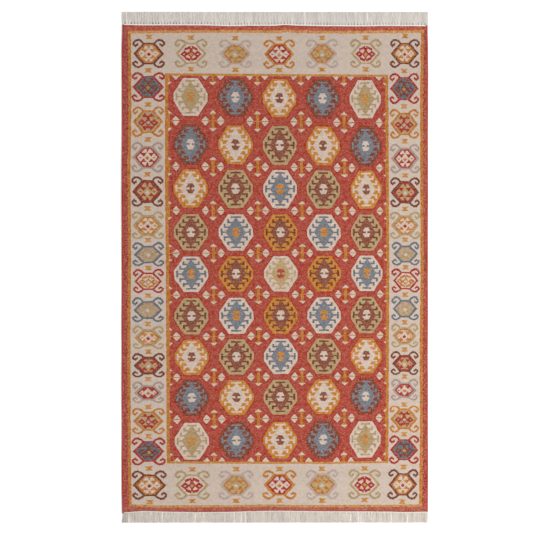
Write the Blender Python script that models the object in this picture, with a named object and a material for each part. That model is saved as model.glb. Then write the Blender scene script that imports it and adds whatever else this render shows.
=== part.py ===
"""A hand-woven kilim rug, laid out flat: cloth, two selvedge cords and two fringes.

Metres, +Z up. X runs across the rug and Y along it. The origin is on the floor,
under the middle of the rug, fringes included.
"""
import math

import bpy

# Driving dimensions
RUG_WIDTH = 1.532               # over both selvedge cords
RUG_LENGTH = 2.556              # fringe tip to fringe tip
FAR_BODY_END = 1.208            # mean line where the weaving stops at the far (+Y) end
NEAR_BODY_END = 1.220           # the same at the near (-Y) end, measured outwards
CLOTH_THICKNESS = 0.004
GAP = 0.0003                    # between neighbouring pieces

SELVEDGE_WIDTH = 0.008
SELVEDGE_HEIGHT = 0.0055
SELVEDGE_ARC_STEPS = 6          # straight sides in the cord's rounded back
SELVEDGE_FOOT_WIDTH = 0.0064    # flat underside that rests on the floor
SELVEDGE_SHOULDER = 0.0016      # height at which the rounded back starts

HEADING_WIDTH = 0.007           # twined strip that the fringe grows out of
FRINGE_THICKNESS = 0.003
LOCKS_PER_END = 100
LOCK_ROOT_SHARE = 0.62          # part of the lock pitch that is yarn at the root
LOCK_TIP_SHARE = 0.93           # and at the cut end
LOCK_LEAN = 0.0025              # most that a lock's tip drifts sideways
LOCK_LEAN_TURN = 0.24           # how fast the drift changes from lock to lock, in radians
LOCK_UNEVEN_CUT = 0.0012        # most that a lock falls short of the longest
LOCK_CUT_TURN = 2.4             # how fast that shortfall changes, in radians

SIDE_STEP = 0.050               # spacing of the points along a wandering long side
END_STEP = 0.025                # and along a wandering end

# How far the two ends wander from their mean lines (positive is outwards).
END_WANDER_COLUMNS = ("across", "far_end", "near_end")
END_WANDER = (
    (-0.760, 0.0037, 0.0040),
    (-0.650, 0.0018, -0.0025),
    (-0.500, 0.0023, 0.0014),
    (-0.380, 0.0020, 0.0034),
    (-0.220, -0.0020, 0.0018),
    (-0.130, -0.0002, -0.0014),
    (-0.010, -0.0004, -0.0038),
    (0.050, 0.0038, -0.0034),
    (0.120, 0.0002, -0.0029),
    (0.250, -0.0022, -0.0012),
    (0.430, -0.0031, -0.0008),
    (0.560, -0.0008, 0.0004),
    (0.650, -0.0017, 0.0027),
    (0.760, -0.0025, 0.0010),
)

# How far the two long sides wander from straight (positive is outwards).
SIDE_WANDER_COLUMNS = ("along", "left_side", "right_side")
SIDE_WANDER = (
    (-1.220, -0.0026, -0.0004),
    (-1.130, -0.0005, 0.0000),
    (-0.950, 0.0003, 0.0006),
    (-0.840, -0.0007, 0.0000),
    (-0.600, 0.0006, -0.0001),
    (-0.420, -0.0002, -0.0011),
    (-0.290, 0.0006, -0.0001),
    (-0.110, -0.0004, -0.0002),
    (0.120, 0.0000, -0.0006),
    (0.430, 0.0006, 0.0000),
    (0.780, -0.0011, 0.0002),
    (0.960, -0.0008, 0.0006),
    (1.080, -0.0002, 0.0000),
    (1.208, -0.0034, -0.0025),
)

# How far each selvedge cord's free tip sticks out past the body's end.
TIP_REACH = {
    ("left_side", "far_end"): 0.0030,
    ("left_side", "near_end"): 0.0075,
    ("right_side", "far_end"): 0.0065,
    ("right_side", "near_end"): 0.0010,
}

# Finishes: colour, roughness
FINISHES = {
    "field_wool": ((0.46, 0.075, 0.050, 1.0), 0.92),
    "selvedge_wool": ((0.36, 0.042, 0.030, 1.0), 0.90),
    "fringe_yarn": ((0.60, 0.55, 0.50, 1.0), 0.88),
}


def clear_scene():
    for old_object in list(bpy.data.objects):
        bpy.data.objects.remove(old_object, do_unlink=True)


def wander(table, columns, place, column):
    """The wander at a place, eased from each row of the table to the next."""
    value_index = columns.index(column)
    if place <= table[0][0]:
        return table[0][value_index]
    for before, after in zip(table, table[1:]):
        if place <= after[0]:
            share = (place - before[0]) / (after[0] - before[0])
            eased = 0.5 - 0.5 * math.cos(math.pi * share)
            return before[value_index] + eased * (after[value_index] - before[value_index])
    return table[-1][value_index]


def side_edge(side, along):
    """Distance from the middle line to the outer face of one long side."""
    return RUG_WIDTH / 2 + wander(SIDE_WANDER, SIDE_WANDER_COLUMNS, along, side)


def end_edge(end, across):
    """Distance from the middle to where the weaving stops at one end."""
    mean = FAR_BODY_END if end == "far_end" else NEAR_BODY_END
    return mean + wander(END_WANDER, END_WANDER_COLUMNS, across, end)


def even_steps(start, stop, step):
    """Evenly spaced values from start to stop, about a step apart."""
    count = max(1, round(abs(stop - start) / step))
    return [start + (stop - start) * index / count for index in range(count + 1)]


def make_finish(name):
    colour, roughness = FINISHES[name]
    finish = bpy.data.materials.new(name)
    finish.use_nodes = True
    shader = finish.node_tree.nodes["Principled BSDF"]
    shader.inputs["Base Color"].default_value = colour
    shader.inputs["Roughness"].default_value = roughness
    shader.inputs["Metallic"].default_value = 0.0
    return finish


def closed_spline(curve, points):
    spline = curve.splines.new("POLY")
    spline.points.add(len(points) - 1)
    for spline_point, (x, y) in zip(spline.points, points):
        spline_point.co = (x, y, 0.0, 1.0)
    spline.use_cyclic_u = True


def flat_piece(name, outline, thickness, finish, collection):
    """A flat outline given its thickness, resting on the floor."""
    curve = bpy.data.curves.new(name, "CURVE")
    curve.dimensions = "2D"
    curve.fill_mode = "BOTH"
    curve.extrude = thickness / 2
    closed_spline(curve, outline)
    curve.materials.append(finish)
    piece = bpy.data.objects.new(name, curve)
    piece.location.z = thickness / 2
    collection.objects.link(piece)
    return piece


def inner_side(side, along):
    """Distance from the middle line to the cloth's own edge, inside the selvedge cord."""
    return side_edge(side, along) - SELVEDGE_WIDTH - GAP


def end_stations(end):
    """Places across one end, from the cloth's left corner to its right one."""
    along = FAR_BODY_END if end == "far_end" else -NEAR_BODY_END
    return even_steps(-inner_side("left_side", along), inner_side("right_side", along), END_STEP)


def cloth_outline():
    """Anticlockwise round the woven body, inside the two selvedge cords."""
    side_stations = even_steps(-NEAR_BODY_END, FAR_BODY_END, SIDE_STEP)[1:-1]
    near = [(across, -end_edge("near_end", across)) for across in end_stations("near_end")]
    right = [(inner_side("right_side", along), along) for along in side_stations]
    far = [(across, end_edge("far_end", across)) for across in end_stations("far_end")]
    left = [(-inner_side("left_side", along), along) for along in side_stations]
    return near + right + far[::-1] + left[::-1]


def cord_profile(name):
    """The cord's section: flat below, rounded above, as wide as the cord."""
    profile = bpy.data.curves.new(name, "CURVE")
    profile.dimensions = "2D"
    points = [(-SELVEDGE_FOOT_WIDTH / 2, 0.0), (SELVEDGE_FOOT_WIDTH / 2, 0.0)]
    for step in range(SELVEDGE_ARC_STEPS + 1):
        angle = math.pi * step / SELVEDGE_ARC_STEPS
        rise = (SELVEDGE_HEIGHT - SELVEDGE_SHOULDER) * math.sin(angle)
        points.append((SELVEDGE_WIDTH / 2 * math.cos(angle), SELVEDGE_SHOULDER + rise))
    closed_spline(profile, points[::-1])
    return profile


def selvedge_cord(name, side, finish, collection, guides):
    """A wrapped cord laid along one long side, with a free tip at each end."""
    profile_name = name + "_section"
    profile_object = bpy.data.objects.new(profile_name, cord_profile(profile_name))
    profile_object.hide_render = True
    profile_object.display_type = "WIRE"
    guides.objects.link(profile_object)

    sign = -1.0 if side == "left_side" else 1.0
    corner = sign * RUG_WIDTH / 2
    near_tip = -end_edge("near_end", corner) - TIP_REACH[(side, "near_end")]
    far_tip = end_edge("far_end", corner) + TIP_REACH[(side, "far_end")]
    path = bpy.data.curves.new(name, "CURVE")
    path.dimensions = "3D"
    path.twist_mode = "Z_UP"
    path.bevel_mode = "OBJECT"
    path.bevel_object = profile_object
    path.use_fill_caps = True
    spline = path.splines.new("POLY")
    stations = even_steps(near_tip, far_tip, SIDE_STEP)
    spline.points.add(len(stations) - 1)
    for spline_point, along in zip(spline.points, stations):
        across = sign * (side_edge(side, along) - SELVEDGE_WIDTH / 2)
        spline_point.co = (across, along, 0.0, 1.0)
    path.materials.append(finish)
    cord = bpy.data.objects.new(name, path)
    collection.objects.link(cord)
    return cord


def lock_drift(index):
    """Sideways drift of a lock's tip: neighbours drift almost alike, so none cross."""
    return LOCK_LEAN * math.sin(index * LOCK_LEAN_TURN)


def lock_shortfall(index):
    """How far a lock ends short of the straight cut, uneven from lock to lock."""
    return LOCK_UNEVEN_CUT * (0.5 + 0.5 * math.sin(index * LOCK_CUT_TURN))


def fringe_outline(end):
    """One comb: the heading strip along the cloth's end, with its locks grown out of it."""
    direction = 1.0 if end == "far_end" else -1.0
    stations = end_stations(end)
    left = stations[0]
    right = stations[-1]
    root_pitch = (right - left) / LOCKS_PER_END
    tip_pitch = RUG_WIDTH / LOCKS_PER_END
    half_root = root_pitch * LOCK_ROOT_SHARE / 2
    half_tip = tip_pitch * LOCK_TIP_SHARE / 2

    def gap_floor(gap):
        """The heading's outer edge is level across each gap between two locks."""
        return direction * (end_edge(end, left + gap * root_pitch) + HEADING_WIDTH)

    inner_edge = [(across, direction * (end_edge(end, across) + GAP)) for across in stations]
    locks = []
    for index in reversed(range(LOCKS_PER_END)):
        root = left + (index + 0.5) * root_pitch
        edge_lock = index in (0, LOCKS_PER_END - 1)
        drift = 0.0 if edge_lock else lock_drift(index)
        tip = -RUG_WIDTH / 2 + (index + 0.5) * tip_pitch + drift
        cut = direction * (RUG_LENGTH / 2 - lock_shortfall(index))
        locks.append((root + half_root, gap_floor(index + 1)))
        locks.append((tip + half_tip, cut))
        locks.append((tip - half_tip, cut))
        locks.append((root - half_root, gap_floor(index)))
    outer_edge = [(right, gap_floor(LOCKS_PER_END))] + locks + [(left, gap_floor(0))]
    outline = inner_edge + outer_edge
    return outline if direction > 0 else outline[::-1]


def main():
    clear_scene()
    rug = bpy.data.collections.new("kilim_rug")
    guides = bpy.data.collections.new("kilim_rug_guides")
    bpy.context.scene.collection.children.link(rug)
    bpy.context.scene.collection.children.link(guides)
    field_wool = make_finish("field_wool")
    selvedge_wool = make_finish("selvedge_wool")
    fringe_yarn = make_finish("fringe_yarn")

    flat_piece("kilim_cloth", cloth_outline(), CLOTH_THICKNESS, field_wool, rug)
    selvedge_cord("selvedge_left", "left_side", selvedge_wool, rug, guides)
    selvedge_cord("selvedge_right", "right_side", selvedge_wool, rug, guides)
    flat_piece("fringe_far", fringe_outline("far_end"), FRINGE_THICKNESS, fringe_yarn, rug)
    flat_piece("fringe_near", fringe_outline("near_end"), FRINGE_THICKNESS, fringe_yarn, rug)


main()
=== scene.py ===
# Kilim rug laid out flat: the woven cloth, two overcast selvedge cords and two fringes.
# Metres, X across the rug and Y along it, the far end at +Y. The weaving plan is in millimetres.
import math
from functools import partial

import bpy
import numpy as np
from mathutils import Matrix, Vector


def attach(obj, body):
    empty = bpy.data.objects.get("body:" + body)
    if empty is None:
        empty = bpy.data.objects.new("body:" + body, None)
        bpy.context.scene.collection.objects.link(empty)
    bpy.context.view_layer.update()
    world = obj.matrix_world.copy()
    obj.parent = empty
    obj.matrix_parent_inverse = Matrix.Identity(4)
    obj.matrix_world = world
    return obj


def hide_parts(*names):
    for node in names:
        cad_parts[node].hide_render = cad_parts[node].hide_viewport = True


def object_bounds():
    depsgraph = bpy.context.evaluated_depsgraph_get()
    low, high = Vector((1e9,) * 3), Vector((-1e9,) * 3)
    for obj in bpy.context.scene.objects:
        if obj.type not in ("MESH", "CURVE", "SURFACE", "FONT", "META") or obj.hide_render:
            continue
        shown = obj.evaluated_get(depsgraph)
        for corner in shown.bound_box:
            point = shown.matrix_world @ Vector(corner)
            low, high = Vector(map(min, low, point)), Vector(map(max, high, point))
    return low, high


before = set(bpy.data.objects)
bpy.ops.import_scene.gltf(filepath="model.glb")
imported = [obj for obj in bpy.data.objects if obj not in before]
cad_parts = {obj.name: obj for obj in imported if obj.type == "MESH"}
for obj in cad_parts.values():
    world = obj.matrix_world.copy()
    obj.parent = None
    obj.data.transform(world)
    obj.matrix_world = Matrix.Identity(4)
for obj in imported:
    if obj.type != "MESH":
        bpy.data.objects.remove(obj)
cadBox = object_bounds()
print("frame loaded:", ", ".join(sorted(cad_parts)))

millimetre = 0.001


# small helpers

def srgb(red, green, blue):
    # a colour as it is read off a screen, as Blender's shaders want it
    shares = [value / 255 for value in (red, green, blue)]
    return (*[share / 12.92 if share <= 0.04045 else ((share + 0.055) / 1.055) ** 2.4
              for share in shares], 1.0)


def nodePoints(name):
    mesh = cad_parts[name].data
    flat = np.empty(len(mesh.vertices) * 3)
    mesh.vertices.foreach_get("co", flat)
    return np.unique(flat.reshape(-1, 3).round(6), axis=0)


def edgeLine(points, along, across):
    # the points sorted along one axis, ready for np.interp
    order = np.argsort(points[:, along])
    return points[order, along], points[order, across]


def meshPiece(name, points, faces, material):
    mesh = bpy.data.meshes.new(name)
    mesh.from_pydata(np.asarray(points).tolist(), [], faces)
    mesh.materials.append(material)
    mesh.update()
    piece = bpy.data.objects.new(name, mesh)
    bpy.context.scene.collection.objects.link(piece)
    return piece


def woolPiece(name, points, faces, material, bakeMap, attributes, crease=180):
    # a smooth mesh with its bake map, and with what its shader reads at each point
    piece = meshPiece(name, points, faces, material)
    layer = piece.data.uv_layers.new(name="OFBake")
    layer.uv.foreach_set("vector", np.asarray(bakeMap, dtype=np.float32).ravel())
    piece.data.shade_smooth()
    if crease < 180:
        piece.data.set_sharp_from_angle(angle=math.radians(crease))
    for key, values in attributes.items():
        attribute = piece.data.attributes.new(key, "FLOAT_VECTOR", "POINT")
        attribute.data.foreach_set("vector", np.asarray(values, dtype=np.float32).ravel())
    return piece


# helpers that draw a shader, one node at a time

draft = {"tree": None}


def startMaterial(name):
    material = bpy.data.materials.new(name)
    material.use_nodes = True
    draft["tree"] = material.node_tree
    return material, material.node_tree.nodes["Principled BSDF"]


def feed(socket, value):
    if isinstance(value, bpy.types.NodeSocket):
        draft["tree"].links.new(value, socket)
    else:
        socket.default_value = value


def wired(kind, sockets=(), values=(), **settings):
    # a new node with these values on these sockets, and what comes out of it
    made = draft["tree"].nodes.new(kind)
    for key, value in settings.items():
        setattr(made, key, value)
    for socket, value in zip(sockets, values):
        feed(made.inputs[socket], value)
    return made.outputs


def calc(operation, *values):
    return wired("ShaderNodeMath", range(3), values, operation=operation)[0]


times, plus, minus, over = [partial(calc, name) for name in ("MULTIPLY", "ADD", "SUBTRACT", "DIVIDE")]
timesPlus, folded = partial(calc, "MULTIPLY_ADD"), partial(calc, "ABSOLUTE")
isLess, isMore = partial(calc, "LESS_THAN"), partial(calc, "GREATER_THAN")
smaller, larger = partial(calc, "MINIMUM"), partial(calc, "MAXIMUM")


def hump(value):
    # 0 at every whole number and 1 halfway between them
    return folded(calc("SINE", times(value, math.pi)))


def split(vector):
    return list(wired("ShaderNodeSeparateXYZ", [0], [vector]))


def readAttribute(name):
    return split(wired("ShaderNodeAttribute", attribute_name=name)["Vector"])


def noise(x, y, scaleX, scaleY, layer=0.0, detail=0.0):
    # soft spots about one over the scale wide, between 0 and 1
    place = wired("ShaderNodeCombineXYZ", range(3), (times(x, scaleX), times(y, scaleY), layer))[0]
    return wired("ShaderNodeTexNoise", ("Vector", "Scale", "Detail"), (place, 1.0, detail))["Fac"]


def swing(value, amount):
    # turns a share from 0 to 1 into a change from -amount to +amount
    return timesPlus(value, 2 * amount, -amount)


def ramped(value, low, high, top=1.0):
    return wired("ShaderNodeMapRange", range(5), (value, low, high, 0.0, top))[0]


def mix(share, first, second):
    return wired("ShaderNodeMix", (0, 2, 3), (share, first, second), data_type="FLOAT")[0]


def mixColour(share, first, second):
    return wired("ShaderNodeMix", (0, 6, 7), (share, first, second), data_type="RGBA")[2]


def retint(colour, hue, saturation, value):
    return wired("ShaderNodeHueSaturation", ("Hue", "Saturation", "Value", "Color"),
                 (plus(hue, 0.5), plus(saturation, 1.0), plus(value, 1.0), colour))[0]


def finishWool(shader, colour, height, sizes, fibre):
    # what every wool of the rug shares; its roughness changes with its fibre
    settings = {
        "Base Color": colour,
        "Normal": wired("ShaderNodeBump", ("Distance", "Height"), (sizes["relief"], height))["Normal"],
        "Roughness": timesPlus(fibre, *sizes["roughness"]),
        "Sheen Weight": sizes["sheen"],
        "Sheen Roughness": 0.6,
        "Specular IOR Level": 0.15,
    }
    for name, value in settings.items():
        feed(shader.inputs[name], value)


def grey(value):
    return (value, value, value, 1.0)


def steppedRamp(share, colours):
    # picks the colour that lies that share of the way through the list
    picked = wired("ShaderNodeValToRGB", [0], [share])[0]
    stops = picked.node.color_ramp
    stops.interpolation = "CONSTANT"
    stops.elements.remove(stops.elements[1])
    for index in range(1, len(colours)):
        stops.elements.new(index / len(colours))
    for index, colour in enumerate(colours):
        stops.elements[index].color = colour
    return picked


def byKind(kind, values):
    # kind 0 takes the first value, kind 1 the second and so on
    share = timesPlus(kind, 1 / len(values), 0.5 / len(values))
    return steppedRamp(share, [grey(value) for value in values])


# shapes of the weaving plan: each is 1 inside and 0 outside

def within(value, low, high):
    return calc("COMPARE", value, (low + high) / 2, abs(high - low) / 2)


def awayFrom(value, middle):
    return folded(minus(value, middle))


def bar(u, v, uRange, vRange):
    return times(within(u, *uRange), within(v, *vRange))


def lozenge(u, v, middle, half):
    up = over(awayFrom(v, middle[1]), half[1])
    return isLess(timesPlus(awayFrom(u, middle[0]), 1 / half[0], up), 1.0)


def cutLozenge(u, v, middle, half, uRange, vRange):
    # a lozenge whose corners are cut off
    return times(lozenge(u, v, middle, half), bar(u, v, uRange, vRange))


def tapered(u, v, middle, end, high):
    # a figure with these half widths at its middle and at its ends, and high half its height
    width = timesPlus(v, (end - middle) / high, middle)
    return times(isLess(u, width), isLess(v, high))


def wedge(u, v, middle, tip, base, half):
    # a triangle on the line u = middle, from its tip to its base, which reaches half to either side
    width = timesPlus(v, half / (base - tip), -tip * half / (base - tip))
    return times(isLess(awayFrom(u, middle), width), within(v, tip, base))


def stroke(u, v, start, stop, width):
    # a straight band between two places, measured along whichever way it mostly runs
    (u0, v0), (u1, v1) = start, stop
    if abs(v1 - v0) > abs(u1 - u0):
        u, v, u0, v0, u1, v1 = v, u, v0, u0, v1, u1
    slope = (v1 - v0) / (u1 - u0)
    reach, centre, end = width / 2 * math.hypot(1, slope), v0 - slope * u0, width / 4
    return times(within(timesPlus(u, -slope, v), centre - reach, centre + reach),
                 within(u, min(u0, u1) - end, max(u0, u1) + end))


def anyOf(*masks):
    joined = masks[0]
    for mask in masks[1:]:
        joined = larger(joined, mask)
    return joined


def drawn(u, v, shapes):
    return anyOf(*[shape(u, v, *sizes) for shape, *sizes in shapes])


def outOf(mask, hole):
    return times(mask, minus(1.0, hole))


def nearest(value):
    # the mark nearest to a place, and how far away it is
    mark = calc("ROUND", value)
    return mark, minus(value, mark)


def stepped(value, step):
    return times(plus(calc("FLOOR", over(value, step)), 0.5), step)


def acrossWarps(value):
    return folded(stepped(value, plan["warpStep"]))


def alongWefts(value):
    return folded(stepped(value, plan["weftStep"]))


# the cloth's dyes, and how uneven each of them is

dyes = {
    "madder": (srgb(149, 55, 43), 1.0),  # the field
    "garnet": (srgb(141, 38, 27), 1.0),  # thin lines round the field's motifs
    "outerRed": (srgb(147, 55, 48), 1.6),  # the outer band, down the sides
    "farRed": (srgb(161, 68, 57), 1.4),  # and along the ends
    "nearRed": (srgb(151, 71, 59), 1.3),
    "ochre": (srgb(163, 100, 30), 1.5),
    "amber": (srgb(171, 110, 36), 1.2),  # the ochre grounds
    "straw": (srgb(168, 114, 50), 1.2),  # the inner lines along the ends, some centres
    "farStraw": (srgb(179, 125, 66), 1.5),  # and the outer ones
    "nearStraw": (srgb(169, 118, 64), 1.5),
    "cream": (srgb(184, 166, 152), 0.85),
    "sand": (srgb(180, 164, 151), 0.42),  # the border's ground
    "olive": (srgb(157, 133, 96), 1.0),
    "moss": (srgb(151, 128, 92), 1.0),
    "paleOlive": (srgb(163, 137, 96), 0.9),
    "brown": (srgb(115, 60, 43), 1.15),
    "peat": (srgb(98, 40, 26), 1.0),  # brown bodies' hooks
    "blue": (srgb(98, 104, 113), 1.2),
    "umber": (srgb(109, 48, 32), 1.2),
    "walnut": (srgb(98, 45, 33), 1.0),  # the darkest brown
    "ash": (srgb(144, 126, 117), 0.8),
    "paleAsh": (srgb(158, 141, 131), 0.8),
    "steel": (srgb(82, 90, 101), 1.0),
    "teal": (srgb(79, 91, 100), 1.2),
    "dun": (srgb(149, 126, 110), 1.6),
    "rust": (srgb(103, 47, 39), 1.0),
    "rose": (srgb(143, 31, 27), 1.0),
}
dyeNames = list(dyes)


def dyeMark(name):
    return (dyeNames.index(name) + 0.5) / len(dyeNames)


def dyeByKind(kind, names):
    return byKind(kind, [dyeMark(name) for name in names])


def layered(dye, layers):
    # one dye after another, each over the ones before it where its mask is 1
    for mask, above in layers:
        dye = mix(mask, dye, above)
    return dye


# the weaving plan: where the rows, columns and lines run, in millimetres from the middle

# how far along the field's length the columns are measured
columnStations = (-972.0, -450.0, 0.0, 390.0, 960.5)
# column of medallions, its place at those stations from the near end to the far one,
# and half a medallion's width there
fieldColumns = [
    (-0.5, -526.5, -528.5, -530.5, -532.5, -533.0, 87.0),
    (0, -414.4, -416.1, -418.5, -422.0, -421.8, 87.0),
    (1, -192.4, -192.0, -194.2, -196.6, -198.0, 88.0),
    (2, 26.0, 29.0, 29.8, 25.8, 21.5, 86.0),
    (3, 239.5, 245.0, 247.2, 242.8, 237.4, 85.5),
    (4, 450.0, 456.6, 460.3, 456.0, 449.8, 79.5),
    (4.5, 555.5, 559.0, 561.5, 559.0, 555.5, 79.5),
]
# row of medallions from the far end on, its place at the left and the right, half their height
fieldRows = [
    (-0.5, 960.5, 957.0, 95.0),
    (0, 851.5, 840.5, 95.0),
    (1, 614.5, 605.0, 97.0),
    (2, 394.0, 388.0, 95.5),
    (3, 175.0, 174.0, 90.5),
    (4, -34.5, -30.0, 88.5),
    (5, -244.0, -238.0, 90.5),
    (6, -449.0, -442.0, 88.0),
    (7, -652.5, -644.5, 87.0),
    (8, -869.0, -859.5, 91.5),
    (8.5, -972.0, -972.0, 91.5),
]
# the ram's-horn motifs, with two values for each thing: down the left and the right side, counted
# from the far end: how far along the middle lies, half the height, half the width, how far across
sideMotifs = [
    (0, 1068.8, 1069.0, 53.8, 53.8, 74, 67, -630.8, 649.0),
    (1, 901.5, 894.0, 55.4, 58.0, 76, 67, -633.2, 645.8),
    (2, 727.9, 716.7, 57.0, 55.8, 72, 66, -633.6, 645.8),
    (3, 550.3, 543.6, 56.8, 55.0, 72, 67, -637.5, 651.0),
    (4, 379.4, 375.5, 57.5, 55.8, 73, 67, -637.4, 650.5),
    (5, 208.9, 209.6, 52.5, 50.5, 74, 69, -635.0, 649.8),
    (6, 64.1, 66.9, 43.2, 42.2, 72, 62, -633.1, 654.0),
    (7, -69.4, -66.4, 43.4, 43.8, 70, 64, -632.6, 653.7),
    (8, -213.1, -206.2, 44.9, 43.4, 72, 62, -635.0, 650.2),
    (9, -352.1, -342.5, 42.0, 42.9, 71, 61, -632.9, 647.6),
    (10, -490.8, -480.0, 44.5, 42.8, 74, 62, -631.8, 648.4),
    (11, -626.6, -613.3, 37.5, 38.3, 72, 62, -634.3, 647.7),
    (12, -768.4, -757.1, 49.0, 50.9, 74, 67, -632.0, 646.2),
    (13, -919.9, -911.7, 51.3, 52.6, 77, 68, -631.5, 646.3),
    (14, -1088.8, -1084.5, 54.6, 56.6, 80, 68, -627.4, 639.6),
]
# and along the far and the near end, counted from the left corner
endMotifs = [
    (0, -631.5, -627.0, 54.0, 54.0, 73, 80, 1069.0, -1089.0),
    (1, -419.3, -413.8, 53.0, 54.0, 75, 80, 1069.9, -1088.4),
    (2, -197.7, -194.2, 52.5, 54.0, 75, 79, 1066.6, -1087.8),
    (3, 21.6, 23.0, 54.0, 54.0, 72, 77, 1065.0, -1086.6),
    (4, 235.5, 235.8, 54.0, 56.0, 73, 75, 1067.8, -1086.1),
    (5, 453.4, 447.8, 53.0, 56.0, 72, 74, 1069.2, -1083.3),
    (6, 649.0, 639.0, 54.0, 54.0, 67, 68, 1069.0, -1085.0),
]
# the ochre lines: half a line's width, then the places it runs through
outerLine = {
    "left": (7.5, [(-1190.0, -723.0), (-900.0, -727.5), (-560.0, -729.0), (-260.0, -729.5),
                   (0.0, -726.0), (480.0, -729.0), (800.0, -724.5), (1180.0, -727.0)]),
    "right": (7.7, [(-1190.0, 727.5), (-860.0, 732.5), (-400.0, 731.0), (0.0, 736.0),
                    (600.0, 733.5), (900.0, 733.5), (1180.0, 737.0)]),
    "far": (6.9, [(-730.0, 1175.0), (-540.0, 1178.0), (-400.0, 1178.5), (-150.0, 1179.5),
                  (20.0, 1176.5), (60.0, 1183.0), (110.0, 1177.0), (400.0, 1175.5), (740.0, 1179.0)]),
    "near": (5.7, [(-730.0, -1188.5), (-600.0, -1195.0), (-280.0, -1194.0), (-20.0, -1190.0),
                   (110.0, -1193.5), (370.0, -1193.0), (740.0, -1190.5)]),
}
innerLine = {
    "left": (8.4, [(-970.0, -532.5), (-300.0, -535.5), (0.0, -536.5), (400.0, -541.0), (960.0, -541.0)]),
    "right": (7.2, [(-970.0, 560.0), (0.0, 565.0), (960.0, 559.5)]),
    "far": (5.6, [(-540.0, 965.0), (560.0, 957.5)]),
    "near": (5.2, [(-540.0, -975.0), (-150.0, -976.5), (240.0, -977.0), (560.0, -973.0)]),
}
plan = {
    "medallionHalf": (87.0, 95.0),  # the medallions are drawn this large and then fitted
    "crossPitch": (220.0, 225.0),  # the crosses are drawn for these pitches
    "warpStep": 2.5,  # shapes step from warp to warp
    "weftStep": 1.25,
    "edgeWobble": 2.6,  # how far an edge strays from its plan
    "lineWobble": 0.14,  # the lines' share of it, for half widths
    "wobbleScale": 0.035,
    "wobbleLayers": (0.0, 40.0),  # of the noise, for across and along
}


def ladder(place, rungs, marks):
    # reads a place off a ladder whose rungs may lean: the mark there, straight between rungs
    value = np.full_like(place, marks[0])
    for index in range(len(marks) - 1):
        share = (place - rungs[index]) / (rungs[index + 1] - rungs[index])
        value += np.clip(share, 0, 1) * (marks[index + 1] - marks[index])
    return value


def longerTable(rows):
    # one more row before the first and after the last, at the same spacing
    first, second, last, later = rows[0], rows[1], rows[-1], rows[-2]
    before = tuple(2 * a - b for a, b in zip(first, second))
    after = tuple(2 * a - b for a, b in zip(last, later))
    return [before, *rows, after]


def pitchAt(mark, rungs, marks):
    # how far apart two rungs one mark away from each other would be here
    spans = np.diff(np.stack(rungs), axis=0) / np.diff(marks)[:, None]
    below = np.clip(np.searchsorted(marks, mark, side="right") - 1, 0, len(spans) - 1)
    return np.take_along_axis(spans, below[None, :], axis=0)[0]


def fieldPlaces(x, y):
    # columns and rows of medallions, and how large a unit of each is drawn
    columns = [np.interp(y, columnStations, row[1:-1]) for row in fieldColumns]
    leftmost, rightmost = fieldColumns[1][3], fieldColumns[-2][3]
    rows = [-np.interp(x, (leftmost, rightmost), row[1:3]) for row in fieldRows]
    found = []
    for place, rungs, table, drawnHalf in ((x, columns, fieldColumns, plan["medallionHalf"][0]),
                                           (-y, rows, fieldRows, plan["medallionHalf"][1])):
        marks = [entry[0] for entry in table]
        mark = ladder(place, rungs, marks)
        half = np.array([entry[-1] for entry in table[1:-1]])
        half = half[np.clip(np.round(mark).astype(int), 0, len(half) - 1)]
        found.append((mark, pitchAt(mark, rungs, marks) * drawnHalf / half))
    (column, columnSize), (row, rowSize) = found
    return (column, row, 0 * x), (columnSize, rowSize, 0 * x)


def motifPlaces(table, along, across, isFirst, sign):
    # how far across, mark and pitch; then half the height and half the width of the nearest motif
    longer = longerTable(table)
    marks = [float(entry[0]) for entry in longer]
    rungs = [sign * np.where(isFirst, entry[1], entry[2]) for entry in longer]
    mark = ladder(sign * along, rungs, marks)
    motif = np.array(table)[np.clip(np.round(mark).astype(int), 0, len(table) - 1)]
    high, wide = (np.where(isFirst, motif[:, first], motif[:, first + 1]) for first in (3, 5))
    middles = [np.interp(mark, marks, [entry[index] for entry in longer]) for index in (7, 8)]
    return (across - np.where(isFirst, *middles), mark, pitchAt(mark, rungs, marks)), (high, wide, 0 * mark)


def beyondLine(line, x, y):
    # how far outside a line a place lies, at the sides and at the ends, in half widths of the line
    beyond = {}
    for side, (half, path) in line.items():
        along, across = (y, x) if side in ("left", "right") else (x, y)
        outward = 1 if side in ("right", "far") else -1
        beyond[side] = (across - np.interp(along, *zip(*path))) * outward / half
    return (np.maximum(beyond["left"], beyond["right"]), np.maximum(beyond["far"], beyond["near"]), 0 * x)


def planPlaces(x, y):
    # where each point of the cloth lies in the weaving plan
    places = {}
    places["fieldAt"], places["fieldSize"] = fieldPlaces(x, y)
    places["sideAt"], places["sideHalf"] = motifPlaces(sideMotifs, y, x, x < 0, -1)
    places["endAt"], places["endHalf"] = motifPlaces(endMotifs, x, y, y > 0, 1)
    places["outerAt"] = beyondLine(outerLine, x, y)
    places["innerAt"] = beyondLine(innerLine, x, y)
    return places


# the field's motifs, in millimetres from their own middles: each shape is its function and sizes

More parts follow.
